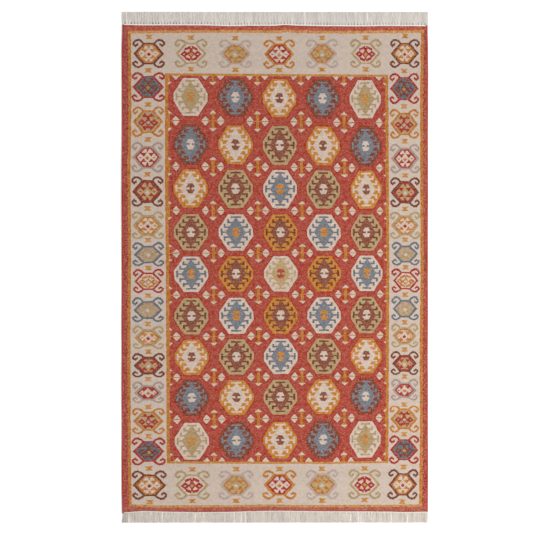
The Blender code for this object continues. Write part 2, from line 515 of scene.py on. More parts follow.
medallion = {
    "half": (86.0, 95.0),  # half the octagon
    "flat": (37.0, 18.0),  # half its level edges, half its upright ones
    "rim": (-5.0, 0.0),  # the thin line's reach outside the octagon
    "figureUp": 1.3,  # the figure lies this far above the octagon's middle
    "body": ((0.0, 0.0), (50.6, 81.6)),  # the hooked lozenge
    "hooks": [
        (bar, (0.0, 24.5), (74.5, 84.0)),
        (bar, (0.0, 42.6), (48.0, 56.3)),  # each hook's arm, then its upturned tip
        (bar, (32.6, 42.6), (50.0, 68.0)),
        (bar, (0.0, 60.0), (22.8, 31.0)),
        (bar, (50.0, 60.0), (26.0, 43.5)),
        (bar, (0.0, 66.0), (0.0, 4.0)),  # the stem and the bar at each side
        (bar, (65.0, 75.0), (0.0, 17.0)),
    ],
    "centre": (25.0, 11.0, 25.4),  # half its width at the middle and at the ends, half its height
    "slit": ((5.0, 30.0), (0.0, 5.0)),
}
# ground, body, hooks and centre of each kind of medallion, from the field's corners to its middle
medallionKinds = [
    ("cream", "moss", "moss", "straw"),
    ("umber", "blue", "blue", "cream"),
    ("amber", "cream", "cream", "brown"),
    ("olive", "brown", "peat", "cream"),
    ("cream", "blue", "steel", "amber"),
    ("amber", "brown", "peat", "cream"),
    ("cream", "paleOlive", "paleOlive", "madder"),
]
middleColumn, middleRow = 2.0, 4.0
cross = {
    "up": 0.5,  # it lies this far above the middle between medallions
    "ochre": [
        (bar, (0.0, 7.6), (0.0, 35.0)),
        (wedge, 0.0, 22.0, 35.6, 18.5),
        (bar, (0.0, 56.5), (0.0, 2.6)),
    ],
    "cream": [
        (wedge, 0.0, 51.0, 35.4, 17.5),
        (cutLozenge, (37.5, -0.5), (21.5, 25.0), (20.0, 56.5), (0.0, 24.5)),
    ],
    "lineRound": [
        (bar, (0.0, 12.0), (0.0, 34.0)),
        (cutLozenge, (38.0, 0.0), (27.5, 34.5), (15.0, 61.0), (0.0, 30.0)),
    ],
}


def octagonDepth(u, v):
    # how far inside the octagon a place lies, below 0 outside it
    (halfU, halfV), (flatU, flatV) = medallion["half"], medallion["flat"]
    length = math.hypot(halfU - flatU, halfV - flatV)
    slantU, slantV = (halfV - flatV) / length, (halfU - flatU) / length
    slanted = minus(slantU * flatU + slantV * halfV, timesPlus(u, slantU, times(v, slantV)))
    return smaller(smaller(slanted, minus(halfU, u)), minus(halfV, v))


def drawField(wobbleU, wobbleV):
    # red ground, crosses between the medallions, and the medallions
    column, row, _ = readAttribute("fieldAt")
    sizeU, sizeV, _ = readAttribute("fieldSize")
    columnMark, columnAway = nearest(column)
    rowMark, rowAway = nearest(row)
    u = acrossWarps(timesPlus(columnAway, sizeU, wobbleU))
    down = timesPlus(rowAway, sizeV, wobbleV)
    v = alongWefts(plus(down, medallion["figureUp"]))
    depth = octagonDepth(u, alongWefts(down))
    fromMiddle = plus(awayFrom(columnMark, middleColumn), awayFrom(rowMark, middleRow))
    kind = minus(middleColumn + middleRow, fromMiddle)
    ground, body, hooks, centre = [dyeByKind(kind, names) for names in zip(*medallionKinds)]

    pitchU, pitchV = plan["crossPitch"]
    crossU = acrossWarps(timesPlus(nearest(plus(column, 0.5))[1], pitchU, wobbleU))
    crossV = timesPlus(nearest(plus(row, 0.5))[1], pitchV, wobbleV)
    crossV = alongWefts(plus(crossV, cross["up"]))
    lines = anyOf(drawn(crossU, crossV, cross["lineRound"]), within(depth, *medallion["rim"]))
    return layered(dyeMark("madder"), [
        (lines, dyeMark("garnet")),
        (drawn(crossU, crossV, cross["cream"]), dyeMark("cream")),
        (drawn(crossU, crossV, cross["ochre"]), dyeMark("ochre")),
        (isMore(depth, 0.0), ground),
        (drawn(u, v, medallion["hooks"]), hooks),
        (lozenge(u, v, *medallion["body"]), body),
        (outOf(tapered(u, v, *medallion["centre"]), bar(u, v, *medallion["slit"])), centre),
    ])


# the border's ram's-horn motifs, in millimetres from their own middles

hornMotif = {
    "half": 73.0,  # half a motif's width as its tables give it
    "hexagonHalf": (0.32, 59.4),  # the hexagon's side corners, further out on a tall motif
    "flat": 28.0,  # half its level edges
    "lean": 1.33,  # how much longer its slanted sides are than they are high
    "outline": 11.0,
    "ring": 19.5,  # the ring reaches this far in
    "levelGain": 1.35,  # both are thinner along the level edges
    "horn": [(24.0, 0.0), (36.0, 12.5), (51.0, 19.0), (64.0, 16.0), (74.0, 6.0), (76.0, -3.0),
             (66.0, -10.0), (56.0, -4.0)],
    "hornFoot": 4.5,  # the horns start this far inside the level edge
    "hornWidth": 10.5,
    "nearSquash": (0.0125, 0.295),  # the near horns are flatter, most so on a low motif
    "eyeDrop": 4.0,  # the eye lies this far below the middle
    "eye": ((0.0, 0.0), (11.5, 10.0)),
    "hourglass": (9.0, 19.0, 11.0),  # the ochre figure between motifs: waist, ends, half its height
    "hourglassAway": 79.0,  # from the middle of an end's motif
}
# what fills the hexagon of one sort: ground shapes on the ring's colour, then two slits
latticed = {
    "ground": [
        (lozenge, (0.0, 3.0), (23.0, 27.0)),
        (lozenge, (37.0, 3.0), (22.0, 23.0)),
        (wedge, 14.0, 62.0, 26.5, 13.5),
        (wedge, 14.5, -58.0, -20.0, 13.0),
    ],
    "slit": ((35.0, 3.0), (8.5, 3.2)),
}
# and of the other sort: a flower with broad or thin leaves, drawn for the tallest hexagon
flower = {
    "height": 54.0,
    "broadLeaves": [(wedge, 17.0, 47.0, 27.0, 16.5), (wedge, 16.5, -39.0, -17.5, 17.5)],
    "topArm": ((0.0, 15.0), (27.0, 34.0)),
    "thinLeaves": [(stroke, (6.5, 35.0), (28.5, 25.0), 12.0), (stroke, (6.0, -29.0), (26.0, -21.0), 12.5)],
    "stem": [(bar, (0.0, 8.0), (12.0, 33.0)), (bar, (0.0, 6.0), (-28.0, -12.0))],
    "heart": ((0.0, 2.0), (18.0, 24.0)),
    "sideLeaf": ((31.5, 0.0), (21.0, 18.5)),
    "sideHole": ((33.5, 0.0), (7.0, 3.5)),
}
# the kinds of motif: outline, ring, ground, ornament, eye, and the filling's sort:
# 0 for the latticed one, 1 for a flower, 2 for one with thin leaves, 3 for one without a stem too
hornKinds = [
    ("walnut", "ochre", "cream", "ochre", "rose", 0),  # at the corners
    ("rose", "teal", "teal", "rust", "straw", 1),
    ("ochre", "olive", "olive", "rose", "paleAsh", 1),
    ("ash", "rose", "cream", "rose", "ochre", 0),
    ("walnut", "garnet", "olive", "garnet", "sand", 0),
    ("moss", "ochre", "cream", "ochre", "rose", 0),
    ("steel", "dun", "dun", "olive", "sand", 1),
    ("rose", "cream", "cream", "ochre", "sand", 3),  # at the middle of a side
    ("moss", "cream", "cream", "rose", "straw", 2),  # along an end, next to the corner
    ("paleAsh", "ochre", "olive", "ochre", "sand", 0),
    ("ochre", "rose", "cream", "rose", "ochre", 0),  # at the middle of an end
]
middleSideMotif, middleEndMotif = 7.0, 3.0


def drawHexagonFill(u, eyeUp, sort, halfV, depth):
    # both sorts of filling in one: where the ground shows, and where the ornament does
    # sort runs from 0 to 1 in thirds
    isFlower, isThin, isStemless = [isMore(sort, least) for least in (1 / 6, 0.5, 5 / 6)]
    ground = times(drawn(u, eyeUp, latticed["ground"]), isMore(depth, hornMotif["ring"]))
    slit = lozenge(u, eyeUp, *latticed["slit"])
    tall = over(times(eyeUp, flower["height"]), halfV)
    broadLeaves, thinLeaves = drawn(u, tall, flower["broadLeaves"]), drawn(u, tall, flower["thinLeaves"])
    stem = drawn(u, tall, flower["stem"])
    arm = bar(u, tall, *flower["topArm"])
    sideLeaf = outOf(lozenge(u, tall, *flower["sideLeaf"]), lozenge(u, tall, *flower["sideHole"]))
    bloom = anyOf(mix(isThin, anyOf(broadLeaves, arm), thinLeaves), mix(isStemless, stem, arm),
                  lozenge(u, tall, *flower["heart"]), sideLeaf)
    return mix(isFlower, ground, 1.0), mix(isFlower, slit, bloom)


def drawBorder(wobbleU, wobbleV, onEnds):
    sideAcross, side, sidePitch = readAttribute("sideAt")
    endUp, end, endPitch = readAttribute("endAt")
    sideHigh, sideWide, _ = readAttribute("sideHalf")
    shadowEndHigh, endWide, _ = readAttribute("endHalf")
    sideMark, sideAway = nearest(side)
    endMark, endAway = nearest(end)
    halfV = mix(onEnds, sideHigh, shadowEndHigh)
    wide = over(mix(onEnds, sideWide, endWide), hornMotif["half"])
    u = mix(onEnds, sideAcross, times(endAway, endPitch))
    v = mix(onEnds, times(times(sideAway, sidePitch), -1.0), endUp)
    u = acrossWarps(over(plus(u, wobbleU), wide))
    upright = stepped(plus(v, wobbleV), plan["weftStep"])
    v = folded(upright)

    fromMiddle = awayFrom(sideMark, middleSideMotif)
    sideKind = minus(middleSideMotif, fromMiddle)
    endKind = minus(len(hornKinds) - 1.0, awayFrom(endMark, middleEndMotif))
    kind = mix(onEnds, sideKind, endKind)
    *names, sorts = zip(*hornKinds)
    outlineDye, ringDye, groundDye, ornamentDye, eyeDye = [dyeByKind(kind, dye) for dye in names]

    corner = timesPlus(halfV, *hornMotif["hexagonHalf"])
    lean = times(over(v, halfV), minus(corner, hornMotif["flat"]))
    slanted = over(minus(minus(corner, u), lean), hornMotif["lean"])
    depth = smaller(slanted, times(minus(halfV, v), hornMotif["levelGain"]))
    hornUp = plus(minus(v, halfV), hornMotif["hornFoot"])
    squash = mix(isLess(upright, 0.0), 1.0, timesPlus(halfV, *hornMotif["nearSquash"]))
    hornUp = over(hornUp, squash)
    strokes = [stroke(u, hornUp, *ends, hornMotif["hornWidth"])
               for ends in zip(hornMotif["horn"], hornMotif["horn"][1:])]
    # none beyond the corners
    inTable = anyOf(onEnds, isLess(fromMiddle, middleSideMotif + 0.5))
    outline = times(anyOf(isMore(depth, 0.0), *strokes), inTable)

    inside = isMore(depth, hornMotif["outline"])
    eyeUp = plus(upright, hornMotif["eyeDrop"])
    sort = byKind(kind, [sort / 3 for sort in sorts])
    ground, ornament = drawHexagonFill(u, eyeUp, sort, halfV, depth)
    betweenSides = times(nearest(plus(side, 0.5))[1], sidePitch)
    hourUp = mix(onEnds, betweenSides, minus(folded(endUp), hornMotif["hourglassAway"]))
    hourUp = folded(plus(hourUp, wobbleV))
    return layered(dyeMark("sand"), [
        (tapered(u, hourUp, *hornMotif["hourglass"]), dyeMark("straw")),
        (outline, outlineDye),
        (inside, ringDye),
        (times(inside, ground), groundDye),
        (times(inside, ornament), ornamentDye),
        (lozenge(u, eyeUp, *hornMotif["eye"]), eyeDye),
    ])


# the cloth's wool: dye, unevenness, stitches

wool = {
    "warpPitch": 2.5,  # millimetres from warp to warp
    "weftPitch": 1.3,
    "relief": 0.0005,  # metres from the crown of a stitch to its groove
    "ridgeRound": 0.6,  # below 1 the warps' ridges are broad and their grooves narrow
    "stitchRelief": (0.35, 0.65),  # the wefts' share of the relief, and the rest
    "spots": {  # noises: how fine they are across and along, to a millimetre, then layer and detail
        "stitches": (0.10, 0.13, 3.0, 1.0),
        "mottle": (0.05, 0.05, 5.0, 1.0),
        "abrash": (0.0015, 0.012, 9.0, 1.0),
        "streaks": (0.12, 0.008, 17.0, 1.0),
        "hue": (0.09, 0.09, 14.0, 1.0),
        "specks": (0.14, 0.16, 21.0),
    },
    "heather": 0.44,  # how unevenly the yarn took the dye, stitch by stitch
    "mottle": 0.24,
    "mottleTint": -0.16,  # dark spots are the stronger in colour
    "abrash": 0.07,  # slow changes from one batch of yarn to the next
    "streaks": 0.16,  # along the outer band's sides
    "hueSwing": 0.014,
    "specks": 0.30,  # pale warps that show between the wefts
    "speckRange": (0.52, 0.78),  # they start and are strongest at these values of their noise
    "speckColour": srgb(188, 158, 125),
    "endRow": 5.0,  # the last wefts at each end are beaten tighter and look darker
    "endShade": 0.10,
    "lineShade": 0.12,  # the outer band looks darker by the ochre line
    "lineShadeReach": 1.9,  # half widths of the line
    "roughness": (0.14, 0.84),
    "sheen": 0.12,
}


def lineAt(name, wobbleU, wobbleV):
    # how far outside a line a place lies, at the sides and at the ends, with the line's wobble
    side, end, _ = readAttribute(name)
    return timesPlus(wobbleU, plan["lineWobble"], side), timesPlus(wobbleV, plan["lineWobble"], end)


def lineMask(beyond, beyondOther):
    # a line's own width, as far as the line that crosses it at the corner
    return times(within(beyond, -1, 1), isLess(beyondOther, 1.0))


def clothDye(loomX, loomY, outerSide, outerEnd, wobbleU, wobbleV):
    innerSide, innerEnd = lineAt("innerAt", wobbleU, wobbleV)
    onEnds = isLess(innerSide, 0.0)
    isFar = isMore(loomY, 0.0)
    return layered(drawBorder(wobbleU, wobbleV, onEnds), [
        (times(onEnds, isLess(innerEnd, 0.0)), drawField(wobbleU, wobbleV)),
        (isMore(larger(outerSide, outerEnd), 1.0), dyeMark("outerRed")),
        (isMore(outerEnd, 1.0), mix(isFar, dyeMark("nearRed"), dyeMark("farRed"))),
        (anyOf(lineMask(innerSide, innerEnd), lineMask(outerSide, outerEnd)), dyeMark("ochre")),
        (lineMask(innerEnd, innerSide), dyeMark("straw")),
        (lineMask(outerEnd, outerSide), mix(isFar, dyeMark("nearStraw"), dyeMark("farStraw"))),
    ])


def clothMaterial():
    material, shader = startMaterial("kilimWool")
    loomX, loomY, _ = readAttribute("loomAt")
    scale = plan["wobbleScale"]
    wobbleU, wobbleV = [swing(noise(loomX, loomY, scale, scale, layer), plan["edgeWobble"])
                        for layer in plan["wobbleLayers"]]
    outerSide, outerEnd = lineAt("outerAt", wobbleU, wobbleV)
    dye = clothDye(loomX, loomY, outerSide, outerEnd, wobbleU, wobbleV)

    # uneven dyeing, pale specks, the outer band's streaks
    stitches, mottle, abrash, streaks, hue, specks = [noise(loomX, loomY, *sizes)
                                                      for sizes in wool["spots"].values()]
    # the ramp holds halves, so that a share above 1 fits
    uneven = steppedRamp(dye, [grey(share / 2) for _, share in dyes.values()])
    value = plus(swing(stitches, wool["heather"] * 2), swing(mottle, wool["mottle"] * 2))
    value = timesPlus(value, uneven, swing(abrash, wool["abrash"]))
    byLine = isLess(outerSide, wool["lineShadeReach"])
    bandShade = timesPlus(byLine, -wool["lineShade"], swing(streaks, wool["streaks"]))
    value = timesPlus(isMore(outerSide, 1.0), bandShade, value)
    ends = edges["left"][0] / millimetre
    byEnd = anyOf(isLess(loomY, ends.min() + wool["endRow"]), isMore(loomY, ends.max() - wool["endRow"]))
    value = timesPlus(byEnd, -wool["endShade"], value)
    colour = steppedRamp(dye, [colour for colour, _ in dyes.values()])
    colour = retint(colour, swing(hue, wool["hueSwing"]), swing(mottle, wool["mottleTint"]), value)
    specks = ramped(specks, *wool["speckRange"], wool["specks"] * 2)
    colour = mixColour(times(specks, uneven), colour, wool["speckColour"])

    # stitches: a ridge over every warp, crossed by the wefts in turn
    warp = over(loomX, wool["warpPitch"])
    turn = timesPlus(calc("FLOOR", warp), 0.5, over(loomY, wool["weftPitch"] * 2))
    ridge = calc("POWER", hump(warp), wool["ridgeRound"])
    height = times(ridge, timesPlus(hump(turn), *wool["stitchRelief"]))
    finishWool(shader, colour, plus(height, mottle), wool, stitches)
    return material


# the cloth itself

cloth = {
    "cell": 0.012,  # spacing of the mesh's points
    "thickness": 0.0040,
    "crease": 40,  # degrees: its rim stays sharp
    "swell": 0.0007,  # soft swells left in the laid-out cloth
    # a wave each way: how short it is, how far another one bends it, and how short and where that one is
    "waves": ((7.1, 1.9, 2.3, 0), (5.3, 1.4, 3.1, 1)),
    "slantWave": (11.0, 8.0, 0.6),  # one slantwise, and its share
    "edgeReach": 0.030,  # how near an end a point of the frame's cloth belongs to it
    "sideReach": 0.020,
    "fade": 0.055,  # the swells die away over the fringe
    "mapFill": 0.985,  # of the bake map's height
    "mapBorder": 0.006,
    "backShare": 0.55,  # the back is this large beside the face
}


def clothEdges():
    points = nodePoints("kilim_cloth")
    low, high = points.min(axis=0), points.max(axis=0)
    return {
        "far": edgeLine(points[points[:, 1] > high[1] - cloth["edgeReach"]], 0, 1),
        "near": edgeLine(points[points[:, 1] < low[1] + cloth["edgeReach"]], 0, 1),
        "left": edgeLine(points[points[:, 0] < low[0] + cloth["sideReach"]], 1, 0),
        "right": edgeLine(points[points[:, 0] > high[0] - cloth["sideReach"]], 1, 0),
    }


edges = clothEdges()
rugEnd = max(abs(corner[1]) for corner in cadBox)


def lift(x, y):
    # how far the rug lies off the floor, never below it
    waves = sum(np.sin(along * short + bent * np.sin(across * bendShort + start))
                for (along, across), (short, bent, bendShort, start) in zip(((x, y), (y, x)), cloth["waves"]))
    slantX, slantY, share = cloth["slantWave"]
    waves = waves + share * np.sin(x * slantX - y * slantY)
    fading = np.clip((rugEnd - np.abs(y)) / cloth["fade"], 0, 1)
    return cloth["swell"] * (1 + waves / (2 + share)) * fading


def clothBakeMap(loomX, loomY, top, side):
    # the face as large as the map allows, the back beside it, the rim round the face
    size = loomY.max() - loomY.min()
    scale, border = cloth["mapFill"] / size, cloth["mapBorder"]
    face = np.stack([border + (loomX - loomX.min()) * scale, border + (loomY - loomY.min()) * scale], -1)
    back = cloth["backShare"] * face
    back[:, 0] += face[:, 0].max() + 2 * border
    sideways, lengthways = len(np.unique(loomX)) - 1, len(np.unique(loomY)) - 1
    outward = np.repeat([(0, -1), (1, 0), (0, 1), (-1, 0)],
                        [sideways, lengthways, sideways, lengthways], axis=0)
    pushed = outward * cloth["thickness"] * scale
    start, after = face[side[:, 0]], face[side[:, 3]]
    rim = np.stack([start, start + pushed, after + pushed, after], axis=1)
    return np.concatenate([face[top].reshape(-1, 2), back[top[:, ::-1]].reshape(-1, 2), rim.reshape(-1, 2)])


def makeCloth():
    left, right = edges["far"][0].min(), edges["far"][0].max()
    near, far = edges["left"][0].min(), edges["left"][0].max()
    countX = round((right - left) / cloth["cell"])
    countY = round((far - near) / cloth["cell"])
    shareX, shareY = np.meshgrid(np.linspace(0, 1, countX + 1), np.linspace(0, 1, countY + 1))
    loomX = (left + shareX * (right - left)).ravel()
    loomY = (near + shareY * (far - near)).ravel()
    leftX, rightX = np.interp(loomY, *edges["left"]), np.interp(loomY, *edges["right"])
    nearY, farY = np.interp(loomX, *edges["near"]), np.interp(loomX, *edges["far"])
    x = leftX + shareX.ravel() * (rightX - leftX)
    y = nearY + shareY.ravel() * (farY - nearY)
    under = lift(x, y)
    upper = np.stack([x, y, under + cloth["thickness"]], axis=-1)
    lower = np.stack([x, y, under], axis=-1)

    wide = countX + 1
    start = (np.arange(countY)[:, None] * wide + np.arange(countX)[None, :]).ravel()
    top = np.stack([start, start + 1, start + 1 + wide, start + wide], axis=-1)
    bottom = top[:, ::-1] + len(upper)
    rim = np.concatenate([
        np.arange(countX),
        np.arange(countY) * wide + countX,
        (countY + 1) * wide - 1 - np.arange(countX),
        (countY - np.arange(countY)) * wide,
    ])
    after = np.roll(rim, -1)
    side = np.stack([rim, rim + len(upper), after + len(upper), after], axis=-1)
    faces = np.concatenate([top, bottom, side]).tolist()
    places = planPlaces(x / millimetre, y / millimetre)
    places["loomAt"] = (loomX / millimetre, loomY / millimetre, 0 * x)
    places = {name: np.tile(np.stack(values, axis=-1), (2, 1)) for name, values in places.items()}
    return woolPiece("kilimCloth", np.concatenate([upper, lower]), faces, clothMaterial(),
                     clothBakeMap(loomX, loomY, top, side), places, cloth["crease"])


kilimCloth = makeCloth()
print("cloth woven:", len(kilimCloth.data.polygons), "faces")


# tubes for yarns and cords

def turnsRound(sides):
    return np.arange(sides) * 2 * math.pi / sides


def tubeFaces(count, stations, sides):
    # the walls of closed tubes, then the caps at their starts and at their ends
    number = np.arange(count * stations * sides).reshape(count, stations, sides)
    after = np.roll(number, -1, axis=2)
    walls = np.stack([number[:, :-1], after[:, :-1], after[:, 1:], number[:, 1:]], axis=-1)
    return walls.reshape(-1, 4).tolist() + number[:, 0, ::-1].tolist() + number[:, -1].tolist()


def tubePoints(lines, radii, sides, spans):
    # spans are the two ways a section reaches, turning the same way as the line runs
    turn = turnsRound(sides)
    ring = np.cos(turn)[:, None] * np.array(spans[0]) + np.sin(turn)[:, None] * np.array(spans[1])
    return (lines[:, :, None, :] + radii[:, :, None, None] * ring).reshape(-1, 3)


def tubeBakeMap(stations, sides, cells):
    # each tube unrolled into its own cell of the bake map: cells are (left, bottom, wide, high)
    around, along = np.arange(sides) / sides, np.arange(stations - 1) / (stations - 1)
    stepAround, stepAlong = 1 / sides, 1 / (stations - 1)
    u0, v0 = np.meshgrid(around, along)
    walls = np.stack([np.stack([u0, v0], -1), np.stack([u0 + stepAround, v0], -1),
                      np.stack([u0 + stepAround, v0 + stepAlong], -1),
                      np.stack([u0, v0 + stepAlong], -1)], axis=2)
    caps = [np.stack([around[::-1], np.zeros(sides)], -1), np.stack([around, np.ones(sides)], -1)]
    cells = np.asarray(cells)
    placed = [cells[:, None, :2] + share.reshape(1, -1, 2) * cells[:, None, 2:]
              for share in (walls, *caps)]
    return np.concatenate([part.reshape(-1, 2) for part in placed])


def bakeCells(left, bottom, wide, high):
    return np.stack(np.broadcast_arrays(left, bottom, wide, high), axis=-1)


# the selvedges: a core of warps overcast with red wool

selvedge = {
    "ridge": 0.0054,  # the frame's cord is this high along its middle
    "half": 0.0041,  # half as wide as it is across
    "high": 0.0055,
    "wrap": 0.0031,  # from one turn of the overcasting to the next
    "lean": 0.45,  # how far a turn leans, in turns
    "groove": 0.10,
    "grooveRound": 0.6,  # below 1 a turn is broad and the groove beside it narrow
    "stationsPerWrap": 4,
    "sides": 12,
    "tip": 0.006,  # over this length the cord's ends are rounded
    "tipLeast": 0.12,
    "mapRows": 24,
    "mapInset": 0.06,  # of a row's height, left free on either side
    "capsAt": (0.001, 0.999),  # the caps lie in two corners of the map
    # one red overcasting wool, painted darker on the left cord as if in shade and lighter on the right one as
    # if lit from the right: painted light and shade
    "wools": {
        "selvedge_left": ("selvedgeLeft", "selvedgeWoolShadedLeft", srgb(158, 58, 46)),
        "selvedge_right": ("selvedgeRight", "selvedgeWoolLitRight", srgb(176, 78, 68)),
    },
    "spots": {  # noises over turns and centimetres, or over turns and the way round
        "yarn": (1.0, 0.0, 2.0),
        "patch": (0.02, 0.02, 4.0, 1.0),
        "fibre": (7.0, 1.5, 6.0, 1.0),
        "wear": (0.11, 0.1, 9.0, 2.0),
    },
    "worn": srgb(188, 128, 104),
    "wear": (0.56, 0.78, 0.45),  # it starts and is strongest at these values of its noise; how strong
    "yarnTone": 0.30,  # how much one turn differs from the next
    "yarnHue": 0.010,
    "patchTone": 0.24,
    "patchTint": -0.12,
    "fibreTone": 0.14,
    "fibreRelief": 0.5,
    # painted shade in the grooves between the turns of the overcasting
    "paintedGrooveShade": 0.22,
    "relief": 0.0004,
    "roughness": (0.12, 0.82),
    "sheen": 0.12,
}


def selvedgeMaterial(name, dye):
    material, shader = startMaterial(name)
    turn, along, around = readAttribute("wrapAt")
    spots = selvedge["spots"]
    groove = hump(turn)
    yarn, patch = noise(turn, along, *spots["yarn"]), noise(turn, along, *spots["patch"])
    fibre = noise(turn, around, *spots["fibre"])
    value = plus(swing(yarn, selvedge["yarnTone"]), swing(patch, selvedge["patchTone"]))
    value = plus(value, swing(fibre, selvedge["fibreTone"]))
    # painted shade: the colour darkens in the grooves between turns
    value = timesPlus(minus(groove, 1.0), selvedge["paintedGrooveShade"], value)
    # dye is that one red, painted lighter or darker for the light falling on each cord's side
    colour = retint(dye, swing(yarn, selvedge["yarnHue"]), swing(patch, selvedge["patchTint"]), value)
    wear = ramped(noise(turn, along, *spots["wear"]), *selvedge["wear"])
    colour = mixColour(wear, colour, selvedge["worn"])
    finishWool(shader, colour, timesPlus(fibre, selvedge["fibreRelief"], groove), selvedge, fibre)
    return material


def makeSelvedge(node, name, woolName, dye):
    points = nodePoints(node)
    ridgeY, ridgeX = edgeLine(points[points[:, 2] > selvedge["ridge"]], 1, 0)
    near, far = points[:, 1].min(), points[:, 1].max()
    wraps = round((far - near) / selvedge["wrap"])
    stations, sides = wraps * selvedge["stationsPerWrap"] + 1, selvedge["sides"]
    y = np.linspace(far, near, stations)
    x = np.interp(y, ridgeY, ridgeX)
    turn = turnsRound(sides)
    wrapAt = (np.arange(stations)[:, None] / selvedge["stationsPerWrap"]
              + selvedge["lean"] * np.cos(turn)[None, :])
    swollen = 1 - selvedge["groove"] * (1 - np.abs(np.sin(math.pi * wrapAt)) ** selvedge["grooveRound"])
    fromTip = np.clip(np.minimum(far - y, y - near) / selvedge["tip"], 0, 1)
    rounding = np.sqrt(1 - (1 - fromTip) ** 2).clip(selvedge["tipLeast"], 1)[:, None]
    across = np.cos(turn) * selvedge["half"] * swollen * rounding
    up = selvedge["high"] / 2 * (1 + np.sin(turn) * swollen * rounding)
    rise = lift(x, y)[:, None]
    ring = np.stack([x[:, None] + across, np.broadcast_to(y[:, None], across.shape), up + rise], -1)

    # the bake map: the cord cut into rows of the same length
    rowHigh, inset = 1 / selvedge["mapRows"], selvedge["mapInset"]
    row = np.arange(stations - 1) * selvedge["mapRows"] // (stations - 1)
    along = np.arange(stations) / (stations - 1) * selvedge["mapRows"]
    left, right = along[:-1] - row, along[1:] - row
    low = row * rowHigh + inset * rowHigh
    stepUp = (1 - 2 * inset) * rowHigh / sides
    share = np.arange(sides)[None, :]
    corners = []
    for horizontal, extra in ((left, 0), (left, 1), (right, 1), (right, 0)):
        vertical = low[:, None] + (share + extra) * stepUp
        corners.append(np.stack([np.broadcast_to(horizontal[:, None], vertical.shape), vertical], -1))
    bakeMap = np.stack(corners, axis=2).reshape(-1, 2)
    capMap = np.repeat([[place, place] for place in selvedge["capsAt"]], sides, axis=0)
    # which turn, how many centimetres along, which side of the cord
    wrapped = np.stack(np.broadcast_arrays(wrapAt, y[:, None] * 100, np.sin(turn)), axis=-1)
    return woolPiece(name, ring.reshape(-1, 3), tubeFaces(1, stations, sides),
                     selvedgeMaterial(woolName, dye), np.concatenate([bakeMap, capMap]), {"wrapAt": wrapped})


selvedges = {node: makeSelvedge(node, *sizes) for node, sizes in selvedge["wools"].items()}
print("selvedges overcast")


# the fringes: warp ends gathered into locks, held by two twined rows

fringe = {
    "tipReach": 0.004,  # how near the end a point of the frame's fringe is a lock's tip
    "lockReach": 0.01,  # and how near the lock's middle
    "stripReach": 0.004,  # how far past the cloth its root is
    "corners": {"far": (-0.7645, 0.7650), "near": (-0.7605, 0.7650)},  # the outermost roots
    "underCord": (0.0075, 0.008),  # roots this near a corner start this much further out
    "cornerRun": 0.030,  # over this width they spread out to the outermost tips
    "dullCorner": {"far": 0.0, "near": 0.026},  # the yarns this near the left corner are darker
    "dullness": 1.3,
    "lightYarns": {  # where a few very light yarns lie on top
        "far": [-0.743, 0.151, 0.462],
        "near": [-0.732, -0.562, -0.398, -0.204, -0.168, -0.147, 0.379, 0.418, 0.429, 0.583, 0.661],
    },
    "lightReach": 0.0032,
    "lightness": 0.75,
    "lean": {"far": 0.0032, "near": 0.0},  # how far the locks lean by the heading
    "leanReach": 0.30,
    "yarnsPerLock": 10,
    "stations": (0.0, 0.06, 0.13, 0.23, 0.36, 0.52, 0.68, 0.84, 1.0),
    "gatherAt": 0.13,  # the yarns run out evenly, are gathered here
    "gatherEnd": 0.36,  # and lie evenly again from here on
    "gather": {"far": 0.20, "near": 0.06},
    "gapShade": {  # how strong the painted shade in the gaps is at their roots, from left to right
        "far": [(-0.74, 0.95), (-0.50, 0.95), (-0.46, 0.70), (-0.35, 0.70), (-0.30, 0.40), (0.0, 0.40),
                (0.03, 0.75), (0.09, 0.45), (0.20, 0.50), (0.23, 1.0), (0.26, 1.0), (0.29, 0.45),
                (0.76, 0.45)],
        "near": [(-0.76, 0.20), (0.76, 0.20)],
    },
    "sides": 5,
    "radius": 0.00100,
    "rise": 0.0012,  # the upper yarns lie this much higher
    "wander": 0.0010,
    "stray": 0.0006,  # how far a tip strays from its place in the lock
    "cut": 0.0012,  # how unevenly the ends are cut
    "spread": 1.3,  # above 1 the yarns spread late on their way from root to tip
    "bend": (0.4, 1.0),  # how many waves a yarn makes
    "bendShare": 0.5,  # of the wander
    "swayShare": 0.6,  # and what a whole lock makes of it
    "leanRange": (0.2, 1.0),
    "ripple": (0.0003, 1.7, 5.0),  # how far a yarn lifts off the floor, where and how often
    "rootGap": 0.0006,  # from the cloth's edge
    "thinTip": 0.08,
    "toneShares": (0.6, 0.4),  # of a yarn's tone: its own and its lock's
    "dullRange": (0.2, 1.0),
    "lightAlong": (0.2, 0.8),  # where along its length a light yarn is lightest
    "lightRange": (0.5, 1.0),
    "gapRound": 2.5,  # above 1 only the yarns right beside a gap carry its painted shade
    "gapRange": (0.3, 1.0),
    "gapAlong": (0.15, 0.13),  # where along the yarns the painted shade of a gap is darkest, and how far it reaches
    "shadowEndAside": 0.0015,  # the lower layer's warp ends deep in the gaps, painted in the shade colour as painted shadow: how far apart they lie
    "shadowEndLength": (0.014, 0.0025),  # their length, and how much it varies
    "shadowEndHigh": 0.0007,
    "shadowEndRadii": (0.0008, 0.0008, 0.0004),
    "shadowEndTone": 0.5,
    "crease": 80,  # degrees: the cut tips stay sharp
    "seed": 41,
}
heading = {
    "rows": {"far": (0.0015, 0.0043), "near": (0.0010, 0.0028)},  # metres past the cloth's edge
    "pitch": 0.0076,  # one full turn of the two strands
    "stationsPerTurn": 6,
    "coil": 0.0006,  # how far a strand swings from the row's middle
    "radius": {"far": 0.00110, "near": 0.00075},
    "high": 0.0031,
    "sides": 6,
    "tones": (0.3, 0.7),
}
